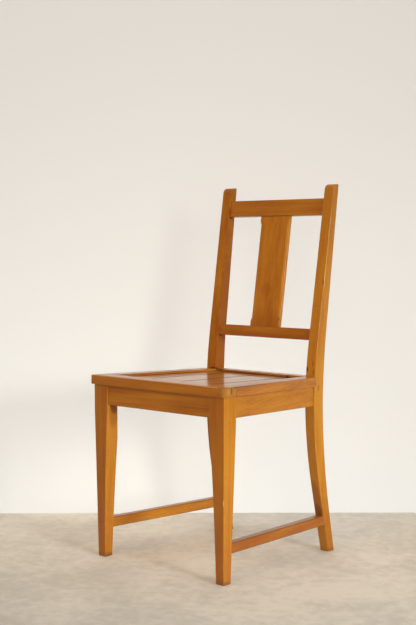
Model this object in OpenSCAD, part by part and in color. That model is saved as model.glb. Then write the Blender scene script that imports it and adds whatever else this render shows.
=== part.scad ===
// Side chair in varnished hardwood: tapered front legs, bent back posts, a framed seat of
// four boards that falls a little to the back, a raked back of two rails with a splat
// between them, and one low stretcher on each side.
// X runs across the chair, Y from its front to its back and Z up. The origin is on the
// floor, under the middle of the chair's box. The modules work from the front faces of the
// front legs, at y = 0, and placed() moves the finished piece to the origin.

/* [Overall] */
// Height of the tops of the back posts
overall_h = 898; // [800:1:1080]
// Height of the seat frame's top over the front faces of the front legs
seat_h = 440; // [366:1:528]
// Width over the outer faces of the front legs
front_w = 422; // [350:1:510]
// Width over the outer faces of the back posts, at their bend
back_w = 356; // [296:1:430]
// Depth from the front legs' front faces to the back posts' front faces
seat_d = 358; // [298:1:430]
// Fall of the seat towards the back, in degrees
seat_fall = 1.15; // [0:0.05:4]

/* [Front legs] */
// Width of a front leg at the aprons
leg_w = 45; // [37:0.5:54]
// Depth of a front leg at the aprons
leg_d = 41; // [34:0.5:50]
// Width of a front leg at the floor
leg_foot_w = 23; // [19:0.5:28]
// Depth of a front leg at the floor
leg_foot_d = 24; // [20:0.5:29]
// How far the outer face leans in by the floor
leg_lean_side = 6; // [0:0.5:10]
// How far the front face leans back by the floor
leg_lean_front = 5; // [0:0.5:10]
// How far below the front apron the tapers start
leg_taper_drop = 8; // [0:0.5:20]
// Height of the knee, where the curved taper of the inner face turns
leg_knee_z = 215; // [150:1:260]
// How far the inner face has come in at the knee
leg_knee_in = 12; // [6:0.5:16]
// How much of a leg's inner corner is cut off, along each face
leg_corner_cut = 8.5; // [5:0.5:10.5]

/* [Back posts] */
// Width over the back posts at the floor
post_foot_span = 360; // [300:1:430]
// Width over the back posts at their tops
post_top_span = 363; // [300:1:440]
// Width of a back post at its bend
post_w = 29.5; // [25:0.5:35]
// Width of a back post at the floor
post_foot_w = 26; // [22:0.5:31]
// Width of a back post at its top
post_top_w = 29; // [24:0.5:35]
// Depth of a back post at its bend
post_d = 35; // [30:0.5:42]
// Height of the middle of the bend
bend_z = 366; // [305:1:420]
// Radius of the bend in the front face
bend_front_r = 973; // [800:1:1160]
// Radius of the bend in the rear face
bend_rear_r = 1469; // [1220:1:1760]
// Backward splay of the lower part's front face, in degrees
post_splay = 11.6; // [9.5:0.1:14]
// Backward rake of the upper part's front face, in degrees
post_rake = 8.8; // [7.3:0.1:10.6]
// Taper of a post's depth towards the floor, in degrees
post_foot_taper = 1.06; // [0.5:0.01:1.3]
// Taper of a post's depth towards its top, in degrees
post_top_taper = 1.675; // [1:0.005:1.9]
// Radius of the rounded front edge of a post's top
post_top_r = 14; // [4:0.5:15]

/* [Aprons] */
// Height of the aprons
apron_h = 48; // [40:0.5:58]
// Thickness of the aprons
apron_t = 18; // [15:0.5:22]
// How far the aprons' faces stand back from the legs and posts
apron_setback = 3; // [1:0.5:5]
// How far the back apron stands behind the back posts' front faces
back_apron_setback = 17; // [15:0.5:18]

/* [Seat frame] */
// Thickness of the seat frame
frame_t = 22; // [19:0.5:27]
// Width of the front rail of the seat
front_rail_w = 42; // [35:0.5:50]
// Width of the side rails of the seat
side_rail_w = 41; // [37:0.5:49]
// Width of the back rail of the seat
back_rail_w = 34; // [30:0.5:41]
// Overhang of the seat frame past the front of the front legs
overhang_front = 4.5; // [2:0.5:12]
// Overhang of the seat frame past the sides of the front legs
overhang_side = 8.5; // [2:0.5:14]
// Overhang of the seat frame past the sides of the back posts
overhang_rear = 7; // [2:0.5:12]
// Radius of the left front corner of the seat, in plan
left_corner_r = 4; // [2:0.5:16]
// Radius of the right front corner of the seat, in plan, which wear has made rounder
right_corner_r = 12; // [4:0.5:16]
// Radius of the rear corners of the seat, in plan
rear_corner_r = 6; // [2:0.5:8]

/* [Seat boards] */
// Drop from the top of the frame to the top of the boards
board_drop = 6; // [4:0.5:7]
// Thickness of the boards
board_t = 10; // [8:0.5:11]
// Distance between the joints of the boards
board_pitch = 96; // [80:1:110]
// Width of the chamfer on each side of a joint
board_vee = 2.5; // [1:0.25:3]
// How far the boards enter the grooves of the frame
board_bite = 5.5; // [4:0.25:6]
// Length of the tongue between two boards
tongue_l = 4; // [3:0.25:6]
// Thickness of the tongue between two boards
tongue_t = 3; // [2:0.25:4]

/* [Back rails and splat] */
// Height of the lower rail's bottom edge, on the back posts' front line
lower_rail_z = 521; // [500:0.5:600]
// Height of the crest rail's bottom edge, on the back posts' front line
crest_z = 824; // [700:0.5:850]
// Height of the lower rail, along the rake
lower_rail_h = 27; // [22.5:0.5:33]
// Height of the crest rail, along the rake
crest_h = 41; // [35:0.5:50]
// Thickness of both back rails
back_bar_t = 15; // [13:0.5:18]
// How far the back rails stand behind the posts' front faces
back_bar_setback = 3; // [1:0.5:3.5]
// Width of the splat
splat_w = 93.5; // [76:0.5:115]
// Thickness of the splat
splat_t = 11; // [9:0.5:13]
// Width of the chamfers on the splat's front edges
splat_chamfer = 4.5; // [2:0.25:6]
// Distance from each end of the splat to where its chamfers start
chamfer_stop = 12; // [6:0.5:30]
// Length of the chamfers' sloping ends
chamfer_run = 9; // [4:0.5:15]

/* [Stretchers] */
// Height of the stretchers' undersides
stretcher_z = 68; // [50:0.5:120]
// Height of a stretcher's section
stretcher_h = 24; // [20:0.5:29]
// Thickness of the stretchers
stretcher_t = 19; // [15:0.5:20]
// How far the stretchers' outer faces stand in from those of the legs
stretcher_setback = 1; // [0.75:0.25:3]

/* [Joints] */
// Length of the tenons in the front legs
leg_tenon_l = 18; // [12:0.5:20]
// Length of the tenons in the back posts
post_tenon_l = 14; // [10:0.5:15]
// Length of the tenons of the stretchers and the splat
small_tenon_l = 10; // [8:0.5:12]
// Thickness of the tenons
tenon_t = 8; // [6:0.5:9]
// Shoulder above and below a tenon
tenon_shoulder = 5; // [3:0.5:7]
// Width of the flat tenons of the seat frame
flat_tenon_w = 14; // [10:0.5:16]
// Clearance around tenons, boards and screws
joint_gap = 0.2; // [0.1:0.05:0.4]
// Length of a corner block along the aprons
block_l = 70; // [60:1:80]
// Height of the corner blocks
block_h = 28; // [20:0.5:36]
// Distance from a leg or a post to the screw in the corner block beside it
screw_inset = 20; // [16:0.5:24]
// Diameter of the screws that hold the seat
screw_d = 4; // [3:0.25:5]
// Diameter of the screws' heads
screw_head_d = 8; // [6:0.25:9]
// How deep the screws reach into the seat frame
screw_bite = 14; // [8:0.5:16]

/* [Hidden] */

honey = [0.72, 0.40, 0.12];
honey_dark = [0.62, 0.33, 0.10];
raw_wood = [0.78, 0.62, 0.42];
steel = [0.62, 0.61, 0.58];
left = -1;
right = 1;
arc_steps = 16;
corner_steps = 8;
reach = 2 * overall_h;
board_count = 4;

// Heights and places that several pieces share
front_apron_z = seat_h - frame_t - apron_h;
taper_z = front_apron_z - leg_taper_drop;
leg_outer_x = front_w / 2;
post_outer_x = back_w / 2;
post_inner_x = post_outer_x - post_w;
bar_half = max(post_inner_x, post_inner(overall_h)) + 1;
back_edge_y = post_front(seat_z(seat_d));
rear_apron_z = seat_z(seat_d) - frame_t - apron_h;
rake_length = (crest_z - lower_rail_z) / cos(post_rake);
splat_l = rake_length - lower_rail_h;
front_y = -overhang_front;
back_y = max(post_rear(0), post_rear(overall_h));
middle_y = (front_y * cos(seat_fall) - frame_t * sin(seat_fall) + back_y) / 2;

// Outline of the seat frame: its side line, and the width of a side rail along X
side_front_x = leg_outer_x + overhang_side;
side_slope = (side_front_x - post_outer_x - overhang_rear) / (back_edge_y - front_y);
side_angle = atan(side_slope);
side_rail_x = side_rail_w / cos(side_angle);
rail_joint_y = front_y + front_rail_w;

function seat_z(y) = seat_h - y * tan(seat_fall);
function side_x(y) = side_front_x - (y - front_y) * side_slope;
function panel_x(y, into) = side_x(y) - side_rail_x + into;

// Place along a straight line from [x0, y0] to [x1, y1]
function between(y, x0, y0, x1, y1) = x0 + (x1 - x0) * (y - y0) / (y1 - y0);

// Places of the faces of a front leg and of a back post at the height z
function leg_outer(z) = leg_outer_x - leg_lean_side * (1 - z / taper_z);
function leg_rear(z) = between(z, leg_lean_front + leg_foot_d, 0, leg_d, taper_z);
function post_outer(z) = z < bend_z
    ? between(z, post_foot_span / 2, 0, post_outer_x, bend_z)
    : between(z, post_outer_x, bend_z, post_top_span / 2, overall_h);
function post_inner(z) = between(z, post_inner_x, bend_z,
    post_top_span / 2 - post_top_w, overall_h);

// A bent face: its most forward place, the radius of its bend, and the two slopes
function bent_y(z, lead, r, low, high) =
    z > bend_z + r * sin(high)
        ? lead + r * (1 - cos(high)) + (z - bend_z - r * sin(high)) * tan(high)
    : z < bend_z - r * sin(low)
        ? lead + r * (1 - cos(low)) + (bend_z - r * sin(low) - z) * tan(low)
    : lead + r - sqrt(r * r - (z - bend_z) * (z - bend_z));
function bent_face(lead, r, low, high) = concat(
    [[bent_y(0, lead, r, low, high), 0]],
    [for (i = [0:arc_steps]) let (a = (low + high) * i / arc_steps - low)
        [lead + r * (1 - cos(a)), bend_z + r * sin(a)]],
    [[bent_y(overall_h, lead, r, low, high), overall_h]]);
function post_front(z) = bent_y(z, seat_d, bend_front_r, post_splay, post_rake);
function post_rear(z) = bent_y(z, seat_d + post_d, bend_rear_r,
    post_splay - post_foot_taper, post_rake - post_top_taper);

// Points of the arc that rounds the corner q between its neighbours p and s
function unit(v) = v / norm(v);
function half_turn(a) = a > 180 ? a - 360 : a < -180 ? a + 360 : a;
function fillet(p, q, s, r) = let (
    u = unit(p - q),
    v = unit(s - q),
    half = acos(u * v) / 2,
    c = q + unit(u + v) * r / sin(half),
    from = q + u * r / tan(half) - c,
    to = q + v * r / tan(half) - c,
    start = atan2(from.y, from.x),
    sweep = half_turn(atan2(to.y, to.x) - start))
    [for (i = [0:corner_steps]) let (a = start + sweep * i / corner_steps)
        c + r * [cos(a), sin(a)]];

// Quadratic curve from p to s, drawn towards q
function curve(p, q, s) = [for (i = [0:arc_steps]) let (t = i / arc_steps)
    (1 - t) * (1 - t) * p + 2 * t * (1 - t) * q + t * t * s];

module placed() {
    translate([0, -middle_y, 0]) children();
}

module on_side(side) {
    if (side == right) children();
    else mirror([1, 0, 0]) children();
}

// Moves to the plane of the seat's top, which falls to the back
module in_seat_plane() {
    translate([0, 0, seat_h]) rotate([-seat_fall, 0, 0]) children();
}

// Moves to the plane of the back posts' upper front faces, with z along the rake
module in_back_plane() {
    translate([0, post_front(lower_rail_z), lower_rail_z]) rotate([-post_rake, 0, 0]) children();
}

// Draws a profile given in Y and Z, and runs it along X
module across(x0, x1) {
    translate([x0, 0, 0]) rotate([90, 0, 90]) linear_extrude(x1 - x0) children();
}

// Draws a profile given in X and Z, and runs it along Y
module along(y0, y1) {
    translate([0, y1, 0]) rotate([90, 0, 0]) linear_extrude(y1 - y0) children();
}

// A box from its lowest to its highest corner, grown by a clearance
module box(low, high, grow = 0) {
    translate(low - [grow, grow, grow]) cube(high - low + 2 * [grow, grow, grow]);
}

// Everything above the underside of the seat frame
module above_underside() {
    in_seat_plane() translate([-reach / 2, -reach / 2, -frame_t]) cube(reach);
}

// Front leg, before its top is cut to the seat and its mortises are cut
module leg_blank() {
    foot_x = leg_outer_x - leg_lean_side;
    inner_x = leg_outer_x - leg_w;
    intersection() {
        along(-leg_d, 2 * leg_d) polygon(concat(
            [[leg_outer_x, seat_h], [leg_outer_x, taper_z], [foot_x, 0]],
            curve([foot_x - leg_foot_w, 0], [inner_x + leg_knee_in, leg_knee_z],
                [inner_x, taper_z]),
            [[inner_x, seat_h]]));
        across(0, front_w) polygon([[0, seat_h], [0, taper_z], [leg_lean_front, 0],
            [leg_lean_front + leg_foot_d, 0], [leg_d, taper_z], [leg_d, seat_h]]);
        linear_extrude(seat_h) translate([inner_x, leg_d - leg_corner_cut])
            polygon(leg_w * [[-1, -1], [2, 2], [2, -2], [-1, -2]]);
    }
}

// Back post, before its mortises are cut
module post_blank() {
    face = bent_face(seat_d, bend_front_r, post_splay, post_rake);
    rear = bent_face(seat_d + post_d, bend_rear_r,
        post_splay - post_foot_taper, post_rake - post_top_taper);
    low = face[len(face) - 2];
    tip = face[len(face) - 1];
    heel = rear[len(rear) - 1];
    intersection() {
        across(0, reach) polygon(concat(
            [for (i = [0:len(face) - 2]) face[i]],
            fillet(low, tip, heel, post_top_r),
            [for (i = [len(rear) - 1:-1:0]) rear[i]]));
        along(0, reach) polygon([
            [post_foot_span / 2 - post_foot_w, 0], [post_foot_span / 2, 0],
            [post_outer_x, bend_z], [post_top_span / 2, overall_h],
            [post_top_span / 2 - post_top_w, overall_h], [post_inner_x, bend_z]]);
    }
}

module both_posts() {
    post_blank();
    mirror([1, 0, 0]) post_blank();
}

// Tenon of the front apron in a front leg
module front_apron_tenon(grow = 0) {
    inner_x = leg_outer_x - leg_w;
    mid_y = apron_setback + apron_t / 2;
    top_z = seat_z(mid_y) - frame_t - tenon_shoulder;
    box([inner_x - tenon_t, mid_y - tenon_t / 2, front_apron_z + tenon_shoulder],
        [inner_x + leg_tenon_l, mid_y + tenon_t / 2, top_z], grow);
}

// Middle of a side apron's thickness at the place y
function side_apron_x(y) = between(y, leg_outer_x, leg_d, post_outer_x, seat_d)
    - apron_setback - apron_t / 2;

// Tenon of a side apron, between two places along Y
module side_apron_tenon(y0, y1, grow = 0) {
    mid_x = side_apron_x((y0 + y1) / 2);
    mid_z = seat_z((y0 + y1) / 2) - frame_t - apron_h / 2;
    high = apron_h / 2 - tenon_shoulder;
    box([mid_x - tenon_t / 2, y0, mid_z - high], [mid_x + tenon_t / 2, y1, mid_z + high], grow);
}

module side_apron_tenons(grow = 0) {
    side_apron_tenon(leg_d - leg_tenon_l, leg_d + tenon_t, grow);
    side_apron_tenon(seat_d - tenon_t, seat_d + post_tenon_l, grow);
}

// Tenon of the back apron in a back post
module back_apron_tenon(grow = 0) {
    mid_y = seat_d + back_apron_setback + apron_t / 2;
    box([post_inner_x - tenon_t, mid_y - tenon_t / 2, rear_apron_z + tenon_shoulder],
        [post_inner_x + post_tenon_l, mid_y + tenon_t / 2,
            rear_apron_z + apron_h - tenon_shoulder], grow);
}

// Flat tenons of the seat frame lie at the height of the grooves for the boards
module flat_tenon(x0, x1, y0, y1, grow = 0) {
    mid_z = -frame_t / 2;
    in_seat_plane() box([x0, y0, mid_z - tenon_t / 2], [x1, y1, mid_z + tenon_t / 2], grow);
}

// Tenon of a side rail of the seat in the front rail
module rail_front_tenon(grow = 0) {
    mid_x = side_x(rail_joint_y) - side_rail_x / 2 + board_bite / 2;
    flat_tenon(mid_x - flat_tenon_w / 2, mid_x + flat_tenon_w / 2,
        rail_joint_y - leg_tenon_l, rail_joint_y + tenon_t, grow);
}

// Tenon of a side rail of the seat in a back post
module rail_post_tenon(grow = 0) {
    mid_x = post_outer_x - post_w / 2;
    flat_tenon(mid_x - flat_tenon_w / 2, mid_x + flat_tenon_w / 2,
        back_edge_y - tenon_t, back_edge_y + post_tenon_l, grow);
}

// Tenon of the back rail of the seat in a back post, behind that of the side rail
module back_rail_tenon(grow = 0) {
    near_y = back_edge_y + post_tenon_l + tenon_shoulder;
    flat_tenon(post_inner_x - tenon_t, post_inner_x + post_tenon_l,
        near_y, near_y + tenon_t, grow);
}

// Tenon of a back rail in a back post; foot and top are heights along the rake
module bar_tenon(foot, top, grow = 0) {
    mid_y = back_bar_setback + back_bar_t / 2;
    inner_x = post_inner(lower_rail_z + foot * cos(post_rake));
    in_back_plane() box([inner_x - 2 * tenon_t, mid_y - tenon_t / 2, foot + tenon_shoulder],
        [inner_x + post_tenon_l, mid_y + tenon_t / 2, top - tenon_shoulder], grow);
}

module lower_rail_tenon(grow = 0) {
    bar_tenon(0, lower_rail_h, grow);
}

module crest_tenon(grow = 0) {
    bar_tenon(rake_length, rake_length + crest_h, grow);
}

// Plan of a stretcher: its outer face runs from the front leg to the back post
function stretcher_x(y) = between(y,
    leg_outer(stretcher_mid_z), leg_rear(stretcher_mid_z),
    post_outer(stretcher_mid_z), post_front(stretcher_mid_z)) - stretcher_setback;
stretcher_mid_z = stretcher_z + stretcher_h / 2;
stretcher_slope = (stretcher_x(0) - stretcher_x(seat_d)) / seat_d;
stretcher_wide = stretcher_t * sqrt(1 + stretcher_slope * stretcher_slope);

// Tenon of a stretcher, between two places along Y
module stretcher_tenon(y0, y1, grow = 0) {
    mid_x = stretcher_x((y0 + y1) / 2) - stretcher_wide / 2;
    box([mid_x - tenon_t / 2, y0, stretcher_z + tenon_shoulder],
        [mid_x + tenon_t / 2, y1, stretcher_z + stretcher_h - tenon_shoulder], grow);
}

module stretcher_tenons(grow = 0) {
    leg_y = leg_rear(stretcher_mid_z);
    post_y = post_front(stretcher_mid_z);
    stretcher_tenon(leg_y - small_tenon_l, leg_y + tenon_t, grow);
    stretcher_tenon(post_y - 2 * tenon_t, post_y + small_tenon_l, grow);
}

module front_leg(side) {
    color(honey) placed() on_side(side) difference() {
        leg_blank();
        above_underside();
        front_apron_tenon(joint_gap);
        side_apron_tenons(joint_gap);
        stretcher_tenons(joint_gap);
    }
}

module back_post(side) {
    color(honey) placed() on_side(side) difference() {
        post_blank();
        side_apron_tenons(joint_gap);
        back_apron_tenon(joint_gap);
        rail_post_tenon(joint_gap);
        back_rail_tenon(joint_gap);
        lower_rail_tenon(joint_gap);
        crest_tenon(joint_gap);
        stretcher_tenons(joint_gap);
    }
}

// The front and back aprons, before their tops are cut to the seat
module front_apron_board() {
    half = leg_outer_x - leg_w;
    box([-half, apron_setback, front_apron_z], [half, apron_setback + apron_t, seat_h]);
}

module back_apron_board() {
    near_y = seat_d + back_apron_setback;
    box([-bar_half, near_y, rear_apron_z], [bar_half, near_y + apron_t, seat_h]);
}

module front_apron() {
    color(honey) placed() {
        difference() {
            front_apron_board();
            above_underside();
        }
        front_apron_tenon();
        mirror([1, 0, 0]) front_apron_tenon();
    }
}

module back_apron() {
    color(honey_dark) placed() {
        difference() {
            back_apron_board();
            above_underside();
            both_posts();
        }
        back_apron_tenon();
        mirror([1, 0, 0]) back_apron_tenon();
    }
}

// A side apron of the given height, from its bottom edge up, before its ends are cut
module side_apron_board(high) {
    near_y = leg_d - apron_setback;
    far_y = seat_d + apron_setback;
    half = apron_t / 2;
    in_seat_plane() translate([0, 0, -frame_t - apron_h]) linear_extrude(high) polygon([
        [side_apron_x(near_y) - half, near_y], [side_apron_x(near_y) + half, near_y],
        [side_apron_x(far_y) + half, far_y], [side_apron_x(far_y) - half, far_y]]);
}

module side_apron(side) {
    color(honey) placed() on_side(side) {
        difference() {
            side_apron_board(apron_h);
            leg_blank();
            post_blank();
        }
        side_apron_tenons();
    }
}

// The space that the seat boards and their grooves take, in plan
module panel_plan(into) {
    near_y = rail_joint_y - into;
    far_y = back_edge_y + into;
    polygon([[-panel_x(near_y, into), near_y], [panel_x(near_y, into), near_y],
        [panel_x(far_y, into), far_y], [-panel_x(far_y, into), far_y]]);
}

// Grooves in the seat frame for the edges of the boards
module panel_groove() {
    in_seat_plane() translate([0, 0, -board_drop - board_t])
        linear_extrude(board_t + joint_gap) panel_plan(board_bite + 2 * joint_gap);
}

// Plan of a corner block in the angle of two aprons: from is the apron's face across the
// chair, and to is the place along the side apron where the block ends
module block_plan(from, to) {
    wall = apron_t / 2 - 1;
    polygon([[side_apron_x(from) - wall, from], [side_apron_x(to) - wall, to],
        [side_apron_x(from) - wall - block_l, from]]);
}

module block_body(from, to) {
    difference() {
        in_seat_plane() translate([0, 0, -frame_t - block_h])
            linear_extrude(block_h) block_plan(from, to);
        side_apron_board(apron_h + frame_t);
        front_apron_board();
        back_apron_board();
        leg_blank();
        post_blank();
        seat_screw_set(joint_gap);
    }
}

// One screw stands up through each corner block into the seat frame; the same shape, grown
// by a clearance, is the hole for it
module seat_screw_set(grow = 0) {
    head_h = (screw_head_d - screw_d) / 2;
    front_at = [leg_outer_x - leg_w - screw_inset, apron_setback + apron_t + screw_head_d / 2 + 1];
    back_at = [post_inner_x - screw_inset, seat_d + back_apron_setback - screw_head_d / 2 - 1];
    in_seat_plane() for (side = [left, right], at = [front_at, back_at])
        translate([side * at.x, at.y, -frame_t - block_h]) {
            cylinder(d = screw_d + 2 * grow, h = block_h + screw_bite + grow, $fn = 48);
            cylinder(d1 = screw_head_d + 2 * grow, d2 = screw_d + 2 * grow, h = head_h,
                $fn = 48);
        }
}

module front_corner_block(side) {
    near_y = apron_setback + apron_t - 1;
    color(raw_wood) placed() on_side(side) block_body(near_y, near_y + block_l);
}

module back_corner_block(side) {
    near_y = seat_d + back_apron_setback + 1;
    color(raw_wood) placed() on_side(side) block_body(near_y, near_y - block_l);
}

module seat_screws() {
    color(steel) placed() seat_screw_set();
}

// A rail of the seat frame, drawn in plan on the seat's plane
module seat_rail() {
    in_seat_plane() translate([0, 0, -frame_t]) linear_extrude(frame_t) children();
}

module seat_front_rail() {
    near_left = [-side_front_x, front_y];
    near_right = [side_front_x, front_y];
    far_left = [-side_x(rail_joint_y), rail_joint_y];
    far_right = [side_x(rail_joint_y), rail_joint_y];
    color(honey) placed() difference() {
        seat_rail() polygon(concat(
            [far_left],
            fillet(far_left, near_left, near_right, left_corner_r),
            fillet(near_left, near_right, far_right, right_corner_r),
            [far_right]));
        panel_groove();
        rail_front_tenon(joint_gap);
        mirror([1, 0, 0]) rail_front_tenon(joint_gap);
        seat_screw_set(joint_gap);
    }
}

module seat_side_rail(side) {
    near_outer = [side_x(rail_joint_y), rail_joint_y];
    far_outer = [side_x(back_edge_y), back_edge_y];
    far_inner = [panel_x(back_edge_y, 0), back_edge_y];
    color(honey) placed() on_side(side) {
        difference() {
            seat_rail() polygon(concat(
                [[panel_x(rail_joint_y, 0), rail_joint_y], near_outer],
                fillet(near_outer, far_outer, far_inner, rear_corner_r),
                [far_inner]));
            panel_groove();
            post_blank();
        }
        rail_front_tenon();
        rail_post_tenon();
    }
}

module seat_back_rail() {
    color(honey) placed() {
        difference() {
            seat_rail() translate([-bar_half, back_edge_y]) square([2 * bar_half, back_rail_w]);
            panel_groove();
            both_posts();
            seat_screw_set(joint_gap);
        }
        back_rail_tenon();
        mirror([1, 0, 0]) back_rail_tenon();
    }
}

// Section of a seat board: inner edges have a chamfer, and a tongue or the groove for one
module board_section(number) {
    top = -board_drop;
    bottom = top - board_t;
    mid = (top + bottom) / 2;
    slot = tongue_t / 2 + joint_gap;
    first = number == 1;
    last = number == board_count;
    x0 = first ? -reach : (number - 1 - board_count / 2) * board_pitch + joint_gap / 2;
    x1 = last ? reach : (number - board_count / 2) * board_pitch - joint_gap / 2;
    groove_x = x0 + tongue_l + joint_gap;
    grooved_edge = [[x0, bottom], [x0, mid - slot], [groove_x, mid - slot],
        [groove_x, mid + slot], [x0, mid + slot], [x0, top - board_vee], [x0 + board_vee, top]];
    tongued_edge = [[x1 - board_vee, top], [x1, top - board_vee], [x1, mid + tongue_t / 2],
        [x1 + tongue_l, mid + tongue_t / 2], [x1 + tongue_l, mid - tongue_t / 2],
        [x1, mid - tongue_t / 2], [x1, bottom]];
    polygon(concat(
        first ? [[x0, bottom], [x0, top]] : grooved_edge,
        last ? [[x1, top], [x1, bottom]] : tongued_edge));
}

// The rear corners of the outer boards are cut back, clear of the posts
module seat_board(number) {
    color(honey_dark) placed() difference() {
        in_seat_plane() intersection() {
            along(rail_joint_y - board_bite, back_edge_y + board_bite) board_section(number);
            translate([0, 0, -board_drop - board_t]) linear_extrude(board_t)
                panel_plan(board_bite);
        }
        for (side = [left, right])
            on_side(side) translate([-joint_gap, -joint_gap, 0]) post_blank();
    }
}

// A rail of the back between the posts; foot and top are heights along the rake
module back_bar(foot, top) {
    difference() {
        in_back_plane() box([-bar_half, back_bar_setback, foot],
            [bar_half, back_bar_setback + back_bar_t, top]);
        both_posts();
        splat_tenons(joint_gap);
    }
}

module crest_rail() {
    color(honey) placed() {
        back_bar(rake_length, rake_length + crest_h);
        crest_tenon();
        mirror([1, 0, 0]) crest_tenon();
    }
}

module lower_back_rail() {
    color(honey) placed() {
        back_bar(0, lower_rail_h);
        lower_rail_tenon();
        mirror([1, 0, 0]) lower_rail_tenon();
    }
}

// The splat's tenons, in the lower rail and in the crest rail
module splat_tenons(grow = 0) {
    half = splat_w / 2 - 2 * tenon_shoulder;
    mid_y = back_bar_setback + back_bar_t / 2;
    in_back_plane() box([-half, mid_y - tenon_t / 2, lower_rail_h - small_tenon_l],
        [half, mid_y + tenon_t / 2, rake_length + small_tenon_l], grow);
}

// Chamfer along a front edge of the splat, which runs out in a slope before each end
module stopped_chamfer() {
    depth = splat_chamfer / sqrt(2);
    rise = chamfer_run / depth;
    rotate([0, 0, -45]) along(-splat_chamfer, splat_chamfer) polygon([
        [-depth, chamfer_stop + chamfer_run],
        [-depth, splat_l - chamfer_stop - chamfer_run],
        [1, splat_l - chamfer_stop + rise],
        [1, chamfer_stop - rise]]);
}

module splat() {
    half = splat_w / 2;
    front = back_bar_setback + (back_bar_t - splat_t) / 2;
    color(honey) placed() {
        in_back_plane() difference() {
            box([-half, front, lower_rail_h], [half, front + splat_t, rake_length]);
            translate([half, front, lower_rail_h]) stopped_chamfer();
            mirror([1, 0, 0]) translate([half, front, lower_rail_h]) stopped_chamfer();
        }
        splat_tenons();
    }
}

module stretcher(side) {
    near_y = leg_rear(stretcher_z) - 2;
    far_y = post_front(stretcher_z) + 2;
    color(honey) placed() on_side(side) {
        difference() {
            translate([0, 0, stretcher_z]) linear_extrude(stretcher_h) polygon([
                [stretcher_x(near_y) - stretcher_wide, near_y], [stretcher_x(near_y), near_y],
                [stretcher_x(far_y), far_y], [stretcher_x(far_y) - stretcher_wide, far_y]]);
            leg_blank();
            post_blank();
        }
        stretcher_tenons();
    }
}

front_leg(left);  // front_leg_left
front_leg(right);  // front_leg_right
back_post(left);  // back_post_left
back_post(right);  // back_post_right
front_apron();
back_apron();
side_apron(left);  // side_apron_left
side_apron(right);  // side_apron_right
seat_front_rail();
seat_back_rail();
seat_side_rail(left);  // seat_side_rail_left
seat_side_rail(right);  // seat_side_rail_right
seat_board(1);  // seat_board_1
seat_board(2);  // seat_board_2
seat_board(3);  // seat_board_3
seat_board(4);  // seat_board_4
crest_rail();
lower_back_rail();
splat();
stretcher(left);  // stretcher_left
stretcher(right);  // stretcher_right
front_corner_block(left);  // corner_block_front_left
front_corner_block(right);  // corner_block_front_right
back_corner_block(left);  // corner_block_back_left
back_corner_block(right);  // corner_block_back_right
seat_screws();
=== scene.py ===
"""Side chair in varnished wood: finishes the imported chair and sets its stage."""

import math

import bmesh
import bpy
from mathutils import Matrix, Vector
from mathutils.bvhtree import BVHTree


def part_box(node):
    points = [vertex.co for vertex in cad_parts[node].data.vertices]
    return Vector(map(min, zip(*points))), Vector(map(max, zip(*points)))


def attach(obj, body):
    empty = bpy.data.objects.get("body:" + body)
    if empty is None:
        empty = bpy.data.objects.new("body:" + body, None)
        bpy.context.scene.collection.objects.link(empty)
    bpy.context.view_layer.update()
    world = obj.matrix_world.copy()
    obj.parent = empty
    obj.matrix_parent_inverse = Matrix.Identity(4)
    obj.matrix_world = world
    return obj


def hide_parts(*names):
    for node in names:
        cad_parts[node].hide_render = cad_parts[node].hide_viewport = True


bl_info = {
    "name": "Varnished side chair",
    "version": (1, 0, 0),
    "blender": (4, 5, 0),
    "location": "View3D > Sidebar > Chair",
    "description": "Rounds and varnishes the pieces of a wooden side chair",
    "category": "Object",
}

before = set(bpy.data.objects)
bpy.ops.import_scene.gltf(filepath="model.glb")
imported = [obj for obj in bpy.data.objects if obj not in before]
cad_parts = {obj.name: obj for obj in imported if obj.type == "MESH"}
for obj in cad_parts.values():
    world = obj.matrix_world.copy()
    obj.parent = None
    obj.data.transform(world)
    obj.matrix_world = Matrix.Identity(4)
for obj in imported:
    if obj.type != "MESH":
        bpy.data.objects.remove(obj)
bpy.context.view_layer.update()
MM = 0.001

# The pieces
LEGS = ("front_leg_left", "front_leg_right")
POSTS = ("back_post_left", "back_post_right")
APRONS = ("front_apron", "back_apron", "side_apron_left", "side_apron_right")
SEAT_FRAME = ("seat_front_rail", "seat_back_rail", "seat_side_rail_left",
              "seat_side_rail_right")
BOARDS = ("seat_board_1", "seat_board_2", "seat_board_3", "seat_board_4")
BACK = ("crest_rail", "lower_back_rail", "splat")
STRETCHERS = ("stretcher_left", "stretcher_right")
BLOCKS = ("corner_block_front_left", "corner_block_front_right",
          "corner_block_back_left", "corner_block_back_right")


# Sizes and colours that a user would change

def distance(name, description, default):
    return bpy.props.FloatProperty(name=name, description=description, default=default,
                                   min=0.0, subtype="DISTANCE", unit="LENGTH")


def share(name, description, default):
    return bpy.props.FloatProperty(name=name, description=description, default=default,
                                   min=0.0, max=1.0, subtype="FACTOR")


def colour(name, description, default):
    return bpy.props.FloatVectorProperty(name=name, description=description, default=default,
                                         min=0.0, max=1.0, size=3, subtype="COLOR")


def power(name, description, default):
    return bpy.props.FloatProperty(name=name, description=description, default=default,
                                   min=0.0, unit="POWER")


class ChairEdges(bpy.types.PropertyGroup):
    """Radii of the rounded edges"""
    seat: distance("Seat edge", "Radius of the outer top edges of the seat frame", 3.2 * MM)
    foot: distance("Foot edge", "Radius of the edges under the feet", 2.5 * MM)
    post: distance("Post edge", "Radius of the edges of the back posts", 2.6 * MM)
    far_post: distance("Left post edge", "Radius of the edges of the left back post", 1.0 * MM)
    plain: distance("Plain edge", "Radius of the other open edges", 1.1 * MM)
    board: distance("Board edge", "Radius of the edges of the seat boards", 0.7 * MM)
    joint: distance("Joint edge", "Radius where two pieces meet", 0.8 * MM)
    segments: bpy.props.IntProperty(name="Segments", default=3, min=1, max=6,
                                    description="Flat steps in each rounded edge")


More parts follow.
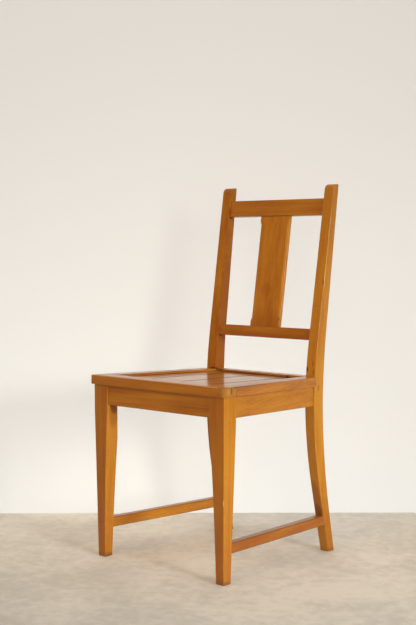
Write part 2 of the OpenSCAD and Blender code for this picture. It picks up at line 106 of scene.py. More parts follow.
class ChairVarnish(bpy.types.PropertyGroup):
    """Colours and gloss of the varnished wood"""
    # Also the colour of the painted light on the front faces of the right post
    light: colour("Light grain", "Colour of the light grain", (0.60, 0.265, 0.026))
    middle: colour("Middle grain", "Colour of most of the wood", (0.50, 0.195, 0.011))
    # Also the colour of painted shade on the front faces, on the left post's inner face and on the
    # left front leg
    dark: colour("Dark grain", "Colour of the dark grain", (0.31, 0.088, 0.005))
    # Dirt in the joints, and also the colour of painted shade under the seat rails, on the left front
    # leg, along the back rail and along the stretchers
    grime_and_shade: colour("Grime", "Colour that has gathered in the joints", (0.12, 0.042, 0.009))
    rubbed: colour("Rubbed edge", "Colour of the edges where the varnish is thin",
                   (0.66, 0.36, 0.11))
    bare: colour("Bare wood", "Colour where the varnish has worn away", (0.33, 0.155, 0.032))
    # Also the colour of a painted highlight on the front corner of the seat
    chip_and_glint: colour("Chip", "Colour of fresh wood under a chip", (0.72, 0.50, 0.30))
    gloss: share("Coat", "Weight of the clear coat", 0.53)
    coat_roughness: share("Coat roughness", "Roughness of the clear coat", 0.14)


class ChairStage(bpy.types.PropertyGroup):
    """Room, lamps and camera"""
    floor: colour("Floor", "Colour of the floor", (0.90, 0.90, 0.87))
    wall: colour("Wall", "Colour of the wall", (0.90, 0.90, 0.88))
    # The wall's glow for the camera and in reflections is painted light, brighter near the floor than
    # high up
    low_wall: colour("Low wall", "Shade of the wall at the floor", (0.93, 0.925, 0.90))
    high_wall: colour("High wall", "Shade of the wall high up", (0.89, 0.865, 0.82))
    window: power("Window", "Power of the window at the right", 3.6)
    far_window: power("Far window", "Power of the window behind the camera", 3.6)
    lamp: power("Lamp", "Power of the warm lamp before the chair", 2.6)
    sky: share("Sky", "Strength of the light from all round", 0.56)
    wall_distance: distance("Wall distance", "From the camera to the wall", 3.515)
    lens: bpy.props.FloatProperty(name="Lens", description="Focal length in millimetres",
                                  default=72.84, min=20.0, max=200.0)


# Shader maths

class Value:
    """A number that changes over a surface. An expression on it adds Math nodes."""

    def __init__(self, paint, socket):
        self.paint = paint
        self.socket = socket

    def maths(self, operation, *others, clamp=False):
        made = self.paint.node("ShaderNodeMath", {"operation": operation, "use_clamp": clamp},
                               {i: other for i, other in enumerate(others)})
        return Value(self.paint, made.outputs[0])

    def __add__(self, other):
        return self.maths("ADD", self, other)

    def __radd__(self, other):
        return self.maths("ADD", other, self)

    def __sub__(self, other):
        return self.maths("SUBTRACT", self, other)

    def __rsub__(self, other):
        return self.maths("SUBTRACT", other, self)

    def __mul__(self, other):
        return self.maths("MULTIPLY", self, other)

    def __rmul__(self, other):
        return self.maths("MULTIPLY", other, self)

    def __truediv__(self, other):
        return self.maths("DIVIDE", self, other)

    def clamped(self):
        return self.maths("ADD", self, 0.0, clamp=True)

    def largest(self, other):
        return self.maths("MAXIMUM", self, other)

    def sine(self):
        return self.maths("SINE", self)

    def size(self):
        return self.maths("ABSOLUTE", self)

    def step(self, low, high):
        """0 below low, 1 above high, and smooth between them; falls where low is above high."""
        made = self.paint.node(
            "ShaderNodeMapRange", {"interpolation_type": "SMOOTHSTEP", "clamp": True},
            {"Value": self, "From Min": min(low, high), "From Max": max(low, high),
             "To Min": 0.0 if low < high else 1.0, "To Max": 1.0 if low < high else 0.0})
        return Value(self.paint, made.outputs["Result"])


class Paint:
    """The nodes of one material."""

    def __init__(self, name):
        self.material = bpy.data.materials.new(name)
        self.material.use_nodes = True
        self.tree = self.material.node_tree
        self.tree.nodes.clear()
        self.output = self.tree.nodes.new("ShaderNodeOutputMaterial")

    def node(self, kind, settings=None, sockets=None):
        made = self.tree.nodes.new(kind)
        for key, value in (settings or {}).items():
            if key == "stops":
                self.set_stops(made.color_ramp, value)
            else:
                setattr(made, key, value)
        for key, value in (sockets or {}).items():
            self.feed(made.inputs[key], value)
        return made

    def feed(self, socket, value):
        if isinstance(value, Value):
            value = value.socket
        if isinstance(value, bpy.types.NodeSocket):
            self.tree.links.new(value, socket)
        elif socket.type == "RGBA" and len(value) == 3:
            socket.default_value = (*value, 1.0)
        else:
            socket.default_value = value

    def set_stops(self, ramp, stops):
        while len(ramp.elements) < len(stops):
            ramp.elements.new(1.0)
        for element, (place, shade) in zip(ramp.elements, stops):
            element.position = place
            element.color = (*shade, 1.0)

    def place(self):
        """The point on the object, in metres."""
        return self.node("ShaderNodeTexCoord").outputs["Object"]

    def parts(self, vector):
        made = self.node("ShaderNodeSeparateXYZ", {}, {"Vector": vector})
        return [Value(self, made.outputs[i]) for i in range(3)]

    def vector(self, x, y, z):
        return self.node("ShaderNodeCombineXYZ", {}, {"X": x, "Y": y, "Z": z}).outputs[0]

    def noise(self, vector, scale, detail=2.0, roughness=0.5, distortion=0.0):
        made = self.node("ShaderNodeTexNoise", {"noise_dimensions": "3D"}, {
            "Vector": vector, "Scale": scale, "Detail": detail, "Roughness": roughness,
            "Distortion": distortion})
        return Value(self, made.outputs["Fac"])

    def mix(self, factor, first, second):
        """One colour over another."""
        made = self.node("ShaderNodeMix", {"data_type": "RGBA"}, {
            "Factor": factor, 6: first, 7: second})
        return made.outputs[2]

    def attribute(self, name):
        """A number held by the points of the mesh."""
        made = self.node("ShaderNodeAttribute", {"attribute_name": name})
        return Value(self, made.outputs["Fac"])

    def spot(self, centre, radii, soft=0.5):
        """1 at the centre of an ellipsoid given in millimetres, 0 outside it."""
        away = self.node("ShaderNodeVectorMath", {"operation": "SUBTRACT"},
                         {0: self.place(), 1: [MM * c for c in centre]}).outputs[0]
        shrunk = self.node("ShaderNodeVectorMath", {"operation": "DIVIDE"},
                           {0: away, 1: [MM * r for r in radii]}).outputs[0]
        made = self.node("ShaderNodeVectorMath", {"operation": "LENGTH"}, {0: shrunk})
        return Value(self, made.outputs["Value"]).step(1.0, 1.0 - soft)

    def finish(self, shader):
        self.tree.links.new(shader.outputs[0], self.output.inputs["Surface"])
        return self.material


# Wood

def grain_axes(paint, along, seed):
    """The place along the grain and the two places across it, shifted by the seed."""
    x, y, z = paint.parts(paint.place())
    run = {"X": (x, y, z), "Y": (y, x, z), "Z": (z, x, y)}[along]
    shifts = (0.37 * seed, 0.11 * seed, 0.053 * seed)
    return [place + shift for place, shift in zip(run, shifts)]


def varnished_wood(name, along, seed, tone=0.0, marks=(), polish=1.0):
    """Varnished wood whose grain runs along an axis. Marks are functions that take the
    paint, the colour, the coat and the roughness, and give them back changed."""
    look = bpy.context.scene.chair_varnish
    paint = Paint(name)
    run, side, rise = grain_axes(paint, along, seed)
    drift = paint.noise(paint.vector(run * 2.2, side * 9.0, rise * 9.0), 1.0, 2.0)
    streaks = paint.noise(paint.vector(run * 3.0, side * 70.0, rise * 70.0), 1.0, 3.0, 0.55, 0.2)
    rings = ((side * 0.8 + rise * 0.6 + drift * 0.006) * 1250.0).sine() * 0.5 + 0.5
    fine = paint.noise(paint.vector(run * 22.0, side * 620.0, rise * 620.0), 1.0, 2.0, 0.6)
    pores = paint.noise(paint.vector(run * 110.0, side * 1500.0, rise * 1500.0), 1.0, 0.0)
    pore = pores.step(0.66, 0.78)
    patch = paint.noise(paint.vector(run * 5.0, side * 14.0, rise * 14.0), 1.0, 1.0)
    # Faces that look to the front or the back are painted a little darker: painted shade
    depth = (streaks * 0.55 + rings * 0.04 + fine * 0.25 + patch * 0.45
             + paint.attribute("flat_cut") * 0.16 + (tone - 0.145)).clamped()
    base = paint.node("ShaderNodeValToRGB", {"stops": (
        (0.26, look.light), (0.50, look.middle), (0.82, look.dark))}, {"Fac": depth}).outputs[0]
    base = paint.mix(pore * 0.45, base, look.dark)
    rubbed = paint.attribute("open_edge") * patch.step(0.38, 0.62)
    base = paint.mix(rubbed * 0.30, base, look.rubbed)
    dirt = paint.attribute("joint_edge") * (0.55 + patch * 0.5)
    base = paint.mix(dirt.clamped(), base, look.grime_and_shade)
    coat = 1.0 - pore * 0.3 - rubbed * 0.2 - dirt * 0.5
    rough = 0.36 + fine * 0.12 + patch * 0.08
    for mark in marks:
        base, coat, rough = mark(paint, base, coat, rough)
    height = fine * 0.5 + streaks * 0.4 - pore * 0.6
    bump = paint.node("ShaderNodeBump", {}, {
        "Strength": 0.10, "Distance": 0.4 * MM, "Height": height})
    shader = paint.node("ShaderNodeBsdfPrincipled", {}, {
        "Base Color": base, "Roughness": rough, "IOR": 1.5, "Specular IOR Level": 0.15 * polish,
        "Coat Weight": (coat * (look.gloss * polish)).clamped(), "Coat Roughness": look.coat_roughness,
        "Coat IOR": 1.5, "Normal": bump.outputs[0]})
    return paint.finish(shader)


# Marks on the wood, with their places in millimetres: wear, dirt and chips, and also painted shade,
# painted light and painted highlights

def stain(centre, radii, strength, shade="grime_and_shade", soft=0.7, dull=0.0, ragged=0.5):
    """A soft, ragged patch of a colour that may also take the gloss away."""
    def mark(paint, base, coat, rough):
        edge = (paint.noise(paint.place(), 260.0, 3.0, 0.6) - 0.5) * ragged
        shape = (paint.spot(centre, radii, soft) + edge).step(0.15, 0.75)
        shape = shape * paint.spot(centre, [1.25 * r for r in radii], 0.3)
        tint = getattr(bpy.context.scene.chair_varnish, shade)
        base = paint.mix(shape * strength, base, tint)
        return base, coat * (1.0 - shape * dull), rough + shape * (dull * 0.3)
    return mark


def darker_end(axis, start, stop, strength, shade="grime_and_shade"):
    """A colour that comes in along an axis from start to stop."""
    def mark(paint, base, coat, rough):
        run = paint.parts(paint.place())["XYZ".index(axis)] / MM
        blotch = (paint.noise(paint.place(), 70.0, 3.0, 0.6) - 0.5) * abs(stop - start)
        shape = (run + blotch).step(start, stop) * strength
        tint = getattr(bpy.context.scene.chair_varnish, shade)
        return paint.mix(shape, base, tint), coat, rough
    return mark


def grime_and_shade_lines(axis, places, reach, strength, fall=0.0):
    """Dark, dull lines across an axis, or across a fall to the back: dirt and worn varnish in the
    seat's joints, and painted shade under the seat rails and along the stretchers' lower edges.
    """
    def mark(paint, base, coat, rough):
        parts = paint.parts(paint.place())
        run = (parts["XYZ".index(axis)] + parts[1] * fall) / MM
        broken = paint.noise(paint.place(), 120.0, 3.0, 0.6).step(0.25, 0.55) * 0.3 + 0.7
        for place in places:
            shape = (run - place).size().step(reach, 0.7 * reach) * broken * strength
            base = paint.mix(shape, base, bpy.context.scene.chair_varnish.grime_and_shade)
            coat = coat * (1.0 - shape)
            rough = rough + shape * 0.3
        return base, coat, rough
    return mark


def facing_forward(strength, shade="dark"):
    """A colour on the faces that look to the front and to the back: painted shade with a dark colour,
    painted light with a light one.
    """
    def mark(paint, base, coat, rough):
        tint = getattr(bpy.context.scene.chair_varnish, shade)
        return paint.mix(paint.attribute("flat_cut") * strength, base, tint), coat, rough
    return mark


# The seat falls this much for each millimetre to the back
SEAT_FALL = 0.0201
# A thin dark line below the seat rails: painted shade under the rails' overhang, with dirt in the
# joint
UNDER_SEAT = grime_and_shade_lines("Z", (414.0,), 1.3, 0.6, SEAT_FALL)
FOOT = (darker_end("Z", 170.0, 10.0, 0.42, "dark"), darker_end("Z", 14.0, 1.0, 0.65))
POST_FOOT = FOOT + (darker_end("Z", 210.0, 70.0, 0.5, "dark"),)
# Tops of the front legs: darker towards the top, the painted shade under the seat rails, and painted
# shade on the faces that look to the front
LEG_TOP = (darker_end("Z", 376.0, 400.0, 0.1, "dark"), UNDER_SEAT, facing_forward(0.38))

WEAR_AND_PAINTED_LIGHT = {
    "front_leg_right": FOOT + LEG_TOP + (
        stain((208.0, -219.1, 184.0), (2.4, 2.4, 11.0), 0.6, "chip_and_glint"),),
    "front_leg_left": FOOT + LEG_TOP + (
        # Painted shadow of the side apron on the inner face of the left front leg, below the apron
        stain((-168.3, -198.0, 372.0), (14.0, 22.0, 36.0), 0.85, ragged=0.15),
        stain((-168.3, -198.0, 360.0), (14.0, 24.0, 70.0), 0.5, "dark", ragged=0.15)),
    "back_post_left": POST_FOOT + (
        # Painted shade on the inner face of the left post, which faces the window
        darker_end("X", -153.5, -150.5, 0.95, "dark"),
        stain((-156.0, 139.5, 433.5), (16.0, 14.0, 4.5), 0.95, dull=0.7, ragged=0.3),
        stain((-152.0, 199.0, 840.0), (4.5, 9.0, 16.0), 0.6, "dark"),
        stain((-151.9, 202.9, 820.7), (5.0, 9.0, 4.5), 0.75),
        stain((-149.6, 161.5, 518.0), (4.0, 9.0, 4.0), 0.75),
        stain((-161.0, 178.0, 700.0), (3.0, 6.0, 80.0), 0.35, "dark")),
    "back_post_right": POST_FOOT + (
        # Painted light on the faces that look to the front
        facing_forward(0.35, "light"),
        stain((161.0, 168.0, 130.0), (22.0, 44.0, 80.0), 0.6, "dark", ragged=0.2),
        stain((161.0, 168.0, 102.0), (22.0, 32.0, 26.0), 0.45, ragged=0.15),
        stain((151.3, 139.5, 450.5), (7.5, 10.0, 9.5), 1.0, dull=0.7, ragged=0.3),
        stain((169.5, 142.0, 465.0), (2.8, 9.0, 11.0), 0.5, ragged=0.2),
        stain((172.8, 140.0, 444.5), (2.4, 9.0, 11.0), 0.65, ragged=0.2),
        stain((178.3, 152.3, 405.9), (6.0, 5.0, 12.0), 0.4, dull=0.5),
        stain((177.0, 170.5, 661.0), (4.0, 7.0, 11.0), 0.5)),
    "seat_board_4": (
        stain((102.0, 133.0, 427.2), (9.0, 14.0, 4.0), 0.95, dull=0.9, ragged=0.3),),
    "seat_front_rail": (
        stain((217.0, -196.5, 430.0), (6.0, 16.0, 20.0), 0.7, "bare", 0.7, dull=0.5),
        stain((212.0, -221.0, 440.0), (24.0, 22.0, 15.0), 0.85, "bare", dull=0.6),
        stain((212.0, -221.0, 428.0), (18.0, 20.0, 18.0), 0.45, "bare", dull=0.3),
        # Painted highlight on the rounded front corner of the seat
        stain((218.0, -214.6, 431.0), (4.0, 4.0, 9.0), 0.2, "chip_and_glint"),
        stain((217.2, -202.4, 432.0), (5.0, 2.4, 12.0), 1.0, dull=0.8, ragged=0.2),
        stain((217.0, -191.0, 438.0), (5.0, 8.0, 3.0), 0.6, dull=0.5)),
    "seat_side_rail_right": (
        stain((213.0, 140.0, 426.0), (7.0, 9.0, 14.0), 0.4, "rubbed", dull=0.3),),
    "seat_back_rail": (
        # Painted shadow along the bottom of the back rail, where it meets the boards
        darker_end("Z", 429.5, 427.0, 0.8),
        stain((-134.0, 140.0, 432.5), (26.0, 5.0, 4.0), 0.85, dull=0.6, ragged=0.3),
        stain((92.0, 138.6, 427.5), (9.0, 6.0, 6.0), 1.0, dull=0.9, ragged=0.2)),
    "front_apron": (UNDER_SEAT,),
    "side_apron_left": (UNDER_SEAT,),
    "side_apron_right": (
        stain((195.0, 88.0, 374.5), (8.0, 11.0, 4.5), 0.55, "dark"),
        stain((195.0, 84.0, 376.0), (8.0, 4.0, 2.0), 0.6),
        darker_end("Y", 118.0, 137.0, 0.35, "dark"), UNDER_SEAT),
    "lower_back_rail": (
        stain((-147.5, 153.5, 531.5), (10.0, 7.0, 16.0), 0.65, "dark"),
        stain((141.6, 153.2, 529.8), (16.0, 8.0, 18.0), 0.5, "dark")),
    "crest_rail": (stain((-150.0, 197.0, 838.0), (12.0, 9.0, 20.0), 0.5, "dark"),),
    "splat": (
        darker_end("Z", 600.0, 545.0, 0.5, "dark"),
        stain((43.8, 162.3, 566.0), (4.0, 6.0, 9.0), 0.6),
        stain((-5.0, 171.0, 640.0), (26.0, 9.0, 28.0), 0.3, "dark")),
}


# The axis that each piece's grain runs along, how much darker than the others it is, and
# its share of the usual polish
FINISH = {
    "front_leg_left": ("Z", -0.03, 1.0),
    "front_leg_right": ("Z", -0.03, 1.0),
    "back_post_left": ("Z", 0.03, 0.55),
    "back_post_right": ("Z", -0.05, 0.85),
    "front_apron": ("X", 0.0, 1.0),
    "back_apron": ("X", 0.0, 1.0),
    "side_apron_left": ("Y", 0.05, 0.7),
    "side_apron_right": ("Y", 0.05, 0.7),
    "seat_front_rail": ("X", 0.02, 1.1),
    "seat_back_rail": ("X", 0.02, 1.1),
    "seat_side_rail_left": ("Y", 0.13, 1.15),
    "seat_side_rail_right": ("Y", 0.13, 1.15),
    "seat_board_1": ("Y", 0.04, 1.48),
    "seat_board_2": ("Y", 0.04, 1.48),
    "seat_board_3": ("Y", 0.04, 1.48),
    "seat_board_4": ("Y", 0.04, 1.48),
    "crest_rail": ("X", -0.09, 1.0),
    "lower_back_rail": ("X", 0.06, 0.9),
    "splat": ("Z", -0.10, 0.85),
    "stretcher_left": ("Y", 0.08, 1.0),
    "stretcher_right": ("Y", 0.27, 1.0),
}


# Shapes

# Points of the CAD mesh this close are one point
MERGED = 0.002 * MM
# Faces of the CAD mesh that meet at less than this are one flat face
FLAT = math.radians(0.2)
# Edges sharper than this are rounded, unless they are shorter than the least length
ROUNDED_ANGLE = math.radians(24)
ROUNDED_LENGTH = 0.4 * MM
# A face beside an edge is tested this far in from the edge and this far out of the face
TEST_IN = 0.8 * MM
TEST_OUT = 0.5 * MM
# Faces narrower than this belong to a rounding
ROUNDING_FACE = 1.8 * MM
# A rounding this close to another piece is at a joint
JOINT_REACH = 1.2 * MM
# Edges sharper than this stay sharp in the shading
SHARP_SHADING = math.radians(34)


def merged_copy(node):
    """The mesh of a CAD node as one closed mesh with its flat faces whole."""
    bm = bmesh.new()
    bm.from_mesh(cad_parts[node].data)
    bmesh.ops.remove_doubles(bm, verts=bm.verts, dist=MERGED)
    bmesh.ops.dissolve_limit(bm, angle_limit=FLAT, verts=bm.verts,
                             edges=bm.edges, use_dissolve_boundaries=False)
    bm.normal_update()
    return bm


def surfaces():
    """A search tree of each CAD node's surface."""
    found = {}
    for name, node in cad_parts.items():
        bm = bmesh.new()
        bm.from_mesh(node.data)
        bmesh.ops.remove_doubles(bm, verts=bm.verts, dist=MERGED)
        found[name] = BVHTree.FromBMesh(bm)
        bm.free()
    return found


# A direction that no face of the chair lies along
PROBE = Vector((0.31, 0.22, 0.93)).normalized()


def covered(point, others):
    """Whether a point lies inside another piece: a ray from it leaves an odd number of times."""
    for tree in others:
        inside = False
        place = tree.ray_cast(point, PROBE)[0]
        while place is not None:
            inside = not inside
            place = tree.ray_cast(place + PROBE * (0.001 * MM), PROBE)[0]
        if inside:
            return True
    return False


def face_is_covered(edge, face, others):
    """Whether another piece lies against a face beside one of its edges."""
    middle = (edge.verts[0].co + edge.verts[1].co) / 2
    run = (edge.verts[1].co - edge.verts[0].co).normalized()
    inward = face.normal.cross(run)
    if inward.dot(face.calc_center_median() - middle) < 0.0:
        inward = -inward
    return covered(middle + inward * TEST_IN + face.normal * TEST_OUT, others)


def outer_top_edge(edge):
    """Whether an edge runs along the outside of the seat's top."""
    up = [f for f in edge.link_faces if f.normal.z > 0.95]
    side = [f for f in edge.link_faces if abs(f.normal.z) < 0.3]
    if not up or not side:
        return False
    middle = (edge.verts[0].co + edge.verts[1].co) / 2
    return side[0].normal.dot(Vector((middle.x, middle.y, 0.0)).normalized()) > 0.35


def foot_edge(edge):
    """Whether an edge stands on the floor."""
    return all(v.co.z < 1.0 * MM for v in edge.verts)


def rounded_piece(node, open_radius, trees):
    """A copy of a CAD node with its open edges rounded, standing in for the node."""
    radii = bpy.context.scene.chair_edges
    bm = merged_copy(node)
    others = [tree for name, tree in trees.items() if name != node]
    weights = bm.edges.layers.float.new("bevel_weight_edge")
    widest = max(radii.seat, radii.foot, radii.post)
    for edge in bm.edges:
        if len(edge.link_faces) != 2 or not edge.is_convex:
            continue
        if edge.calc_face_angle(0.0) < ROUNDED_ANGLE or edge.calc_length() < ROUNDED_LENGTH:
            continue
        hidden = [face_is_covered(edge, f, others) for f in edge.link_faces]
        if all(hidden):
            continue
        if any(hidden):
            radius = radii.joint
        elif foot_edge(edge):
            radius = radii.foot
        elif node.startswith("seat_") and outer_top_edge(edge):
            radius = radii.seat
        else:
            radius = open_radius
        edge[weights] = radius / widest
    mesh = bpy.data.meshes.new(node + "_finished")
    bm.to_mesh(mesh)
    bm.free()
    piece = bpy.data.objects.new(node + "_finished", mesh)
    bpy.context.scene.collection.objects.link(piece)
    bevel = piece.modifiers.new("Rounded edges", "BEVEL")
    bevel.limit_method = "WEIGHT"
    bevel.width = widest
    bevel.segments = radii.segments
    bevel.profile = 0.5
    bevel.use_clamp_overlap = False
    piece.data = baked_mesh(piece)
    piece.modifiers.clear()
    smooth_shading(piece, others)
    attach(piece, "root")
    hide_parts(node)
    return piece


def baked_mesh(piece):
    """The piece's mesh with its modifiers applied."""
    evaluated = piece.evaluated_get(bpy.context.evaluated_depsgraph_get())
    return bpy.data.meshes.new_from_object(evaluated)


def smooth_shading(piece, others):
    """Smooth shading over the roundings, true to the flat faces beside them. Attributes
    hold the open edges, the edges at joints, and the faces that look to the front or back, for painted
    shade and light."""
    bm = bmesh.new()
    bm.from_mesh(piece.data)
    bmesh.ops.remove_doubles(bm, verts=bm.verts, dist=0.001 * MM)
    bm.normal_update()
    open_edge = bm.verts.layers.float.new("open_edge")
    joint_edge = bm.verts.layers.float.new("joint_edge")
    flat_cut = bm.loops.layers.float.new("flat_cut")
    for vert in bm.verts:
        if all(2 * f.calc_area() / f.calc_perimeter() < ROUNDING_FACE for f in vert.link_faces):
            near = any(tree.find_nearest(vert.co, JOINT_REACH)[0] for tree in others)
            vert[joint_edge if near else open_edge] = 1.0
    # How squarely each face looks to the front or the back: the mask of painted shade and light
    for face in bm.faces:
        for loop in face.loops:
            loop[flat_cut] = abs(face.normal.y)
    for face in bm.faces:
        face.smooth = True
    for edge in bm.edges:
        edge.smooth = edge.calc_face_angle(0.0) < SHARP_SHADING
    bm.to_mesh(piece.data)
    bm.free()
    weighted = piece.modifiers.new("Flat faces stay flat", "WEIGHTED_NORMAL")
    weighted.keep_sharp = True
    weighted.weight = 100
    piece.data = baked_mesh(piece)
    piece.modifiers.clear()


def dress(piece, material):
    """Gives a piece its only material."""
    piece.data.materials.clear()
    piece.data.materials.append(material)


# Operators

class PieceOperator:
    """What the operators of the pieces share."""
    bl_options = {"REGISTER"}

    def make(self, node, open_radius, material, slot):
        dress(rounded_piece(node, open_radius, self.trees()), material)

    def varnish(self, node, seed, open_radius, slot="varnished_wood", more_marks=()):
        along, tone, polish = FINISH[node]
        marks = WEAR_AND_PAINTED_LIGHT.get(node, ()) + more_marks
        wood = varnished_wood(node + "_varnish", along, seed, tone, marks, polish)
        self.make(node, open_radius, wood, slot)

    def trees(self):
        if not hasattr(PieceOperator, "found"):
            PieceOperator.found = surfaces()
        return PieceOperator.found


class CHAIR_OT_front_legs(PieceOperator, bpy.types.Operator):
    """Rounds and varnishes the front legs"""
    bl_idname = "chair.front_legs"
    bl_label = "Front legs"

    def execute(self, context):
        for seed, node in enumerate(LEGS, 1):
            self.varnish(node, seed, context.scene.chair_edges.plain)
        return {"FINISHED"}


class CHAIR_OT_back_posts(PieceOperator, bpy.types.Operator):
    """Rounds and varnishes the back posts"""
    bl_idname = "chair.back_posts"
    bl_label = "Back posts"

    def execute(self, context):
        edges = context.scene.chair_edges
        for seed, (node, radius) in enumerate(zip(POSTS, (edges.far_post, edges.post)), 5):
            self.varnish(node, seed, radius)
        return {"FINISHED"}


class CHAIR_OT_aprons(PieceOperator, bpy.types.Operator):
    """Rounds and varnishes the four aprons"""
    bl_idname = "chair.aprons"
    bl_label = "Aprons"

    def execute(self, context):
        for seed, node in enumerate(APRONS, 11):
            self.varnish(node, seed, context.scene.chair_edges.plain)
        return {"FINISHED"}


class CHAIR_OT_seat_frame(PieceOperator, bpy.types.Operator):
    """Rounds and varnishes the frame of the seat"""
    bl_idname = "chair.seat_frame"
    bl_label = "Seat frame"

    def execute(self, context):
        for seed, node in enumerate(SEAT_FRAME, 21):
            self.varnish(node, seed, context.scene.chair_edges.plain, "seat_frame_wood")
        return {"FINISHED"}


class CHAIR_OT_seat_boards(PieceOperator, bpy.types.Operator):
    """Rounds and varnishes the boards of the seat"""
    bl_idname = "chair.seat_boards"
    bl_label = "Seat boards"

    def execute(self, context):
        joints = [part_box(node)[0].x / MM for node in BOARDS[1:]]
        ends = [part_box("seat_front_rail")[1].y / MM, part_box("seat_back_rail")[0].y / MM]
        lines = (grime_and_shade_lines("X", joints, 4.2, 1.0), grime_and_shade_lines("Y", ends, 3.2, 0.9))
        for seed, node in enumerate(BOARDS, 31):
            self.varnish(node, seed, context.scene.chair_edges.board, "seat_board_wood", lines)
        return {"FINISHED"}


class CHAIR_OT_back(PieceOperator, bpy.types.Operator):
    """Rounds and varnishes the rails and the splat of the back"""
    bl_idname = "chair.back"
    bl_label = "Back rails and splat"

    def execute(self, context):
        for seed, node in enumerate(BACK, 41):
            self.varnish(node, seed, context.scene.chair_edges.plain)
        return {"FINISHED"}


class CHAIR_OT_stretchers(PieceOperator, bpy.types.Operator):
    """Rounds and varnishes the stretchers"""
    bl_idname = "chair.stretchers"
    bl_label = "Stretchers"

    def execute(self, context):
        for seed, node in enumerate(STRETCHERS, 51):
            low, top = [corner.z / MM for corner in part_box(node)]
            # Painted shade along the lower edge of each stretcher, and a thin dark line along its top
            # edge
            lines = (grime_and_shade_lines("Z", (low,), 2.5, 0.5),
                     grime_and_shade_lines("Z", (top - 1.6,), 1.2, 0.5))
            self.varnish(node, seed, context.scene.chair_edges.plain, more_marks=lines)
        return {"FINISHED"}


class CHAIR_OT_blocks(PieceOperator, bpy.types.Operator):
    """Finishes the corner blocks and the screws under the seat"""
    bl_idname = "chair.blocks"
    bl_label = "Corner blocks and screws"

    def execute(self, context):
        for seed, node in enumerate(BLOCKS, 61):
            self.make(node, context.scene.chair_edges.joint,
                      sawn_wood(node + "_sawn", seed), "block_wood")
        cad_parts["seat_screws"].data.materials.clear()
        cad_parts["seat_screws"].data.materials.append(zinc())
        return {"FINISHED"}


def sawn_wood(name, seed):
    """Pale wood without varnish, with the lines of the saw across it."""
    paint = Paint(name)
    run, side, rise = grain_axes(paint, "X", seed)
    streaks = paint.noise(paint.vector(run * 8.0, side * 90.0, rise * 90.0), 1.0, 3.0)
    saw = ((run + side * 0.15) * 3100.0).sine() * 0.5 + 0.5
    base = paint.node("ShaderNodeValToRGB", {"stops": (
        (0.3, (0.66, 0.48, 0.28)), (0.7, (0.50, 0.33, 0.17)))}, {"Fac": streaks}).outputs[0]
    bump = paint.node("ShaderNodeBump", {}, {
        "Strength": 0.3, "Distance": 0.4 * MM, "Height": saw * 0.5 + streaks})
    shader = paint.node("ShaderNodeBsdfPrincipled", {}, {
        "Base Color": base, "Roughness": 0.72 + streaks * 0.15, "Normal": bump.outputs[0]})
    return paint.finish(shader)


def zinc():
    """Dull zinc on the screws."""
    paint = Paint("screw_zinc")
    mottle = paint.noise(paint.place(), 900.0, 2.0)
    base = paint.mix(mottle, (0.42, 0.41, 0.38), (0.60, 0.60, 0.58))
    shader = paint.node("ShaderNodeBsdfPrincipled", {}, {
        "Base Color": base, "Metallic": 1.0, "Roughness": 0.35 + mottle * 0.25})
    return paint.finish(shader)


CAMERA_PLACE = (2.06335, -2.24075, 0.74983)
CAMERA_AZIMUTH = 43.24
CAMERA_FALL = 3.04
CAMERA_ROLL = -0.10

# The way from the chair to the dim side of the room, in degrees from straight ahead
DIM_HEADING = 10.0

# Degrees from straight ahead of the chair, rise in degrees, metres away, size, beam in
# degrees, and the height that the beam is aimed at
WINDOW = (80.0, 12.0, 4.5, 1.2, 22.0, 0.05)
FAR_WINDOW = (44.0, 9.0, 4.0, 1.5, 50.0, 0.4)
LAMP = (8.0, 40.0, 2.6, 1.4, 50.0, 0.80)
DAYLIGHT = (1.0, 1.0, 0.92)
EVENING_LIGHT = (1.0, 0.91, 0.80)
LAMPLIGHT = (1.0, 0.71, 0.42)

# The light from all round: on the bright side, on the dim side, and as the camera sees it
BRIGHT_SIDE = (1.0, 0.95, 0.88, 1.0)
DIM_SIDE = (0.40, 0.27, 0.15, 1.0)
SEEN_SKY = (1.5, 1.45, 1.38, 1.0)
# The cosines between a direction and the dim heading where the dimming starts and is full
DIM_SPAN = (-0.3, 0.9)

ROOM_WIDTH = 16.0
WALL_HEIGHT = 4.0
FLOOR_DROP = 0.2 * MM
# The heights between which the wall's painted light changes from its low shade to its high one
WALL_SHADES = (-0.4, 2.2)
# How much of the wall's look is its own glow, a painted light that is brighter near the floor, and not
# the light that falls on it
EVEN_SHARE = 0.6


def camera_turn():
    return (Matrix.Rotation(math.radians(CAMERA_AZIMUTH), 3, "Z")
            @ Matrix.Rotation(math.radians(90 - CAMERA_FALL), 3, "X")
            @ Matrix.Rotation(math.radians(CAMERA_ROLL), 3, "Z"))


def plane(name, centre, turn, width, height):
    """A flat rectangle, drawn in its own X and Y, then turned and moved in its mesh."""
    bm = bmesh.new()
    bmesh.ops.create_grid(bm, x_segments=1, y_segments=1, size=0.5)
    bmesh.ops.scale(bm, vec=(width, height, 1.0), verts=bm.verts)
    bmesh.ops.transform(bm, matrix=Matrix.Translation(centre) @ turn.to_4x4(), verts=bm.verts)
    mesh = bpy.data.meshes.new(name)
    bm.to_mesh(mesh)
    bm.free()
    made = bpy.data.objects.new(name, mesh)
    bpy.context.scene.collection.objects.link(made)
    return made


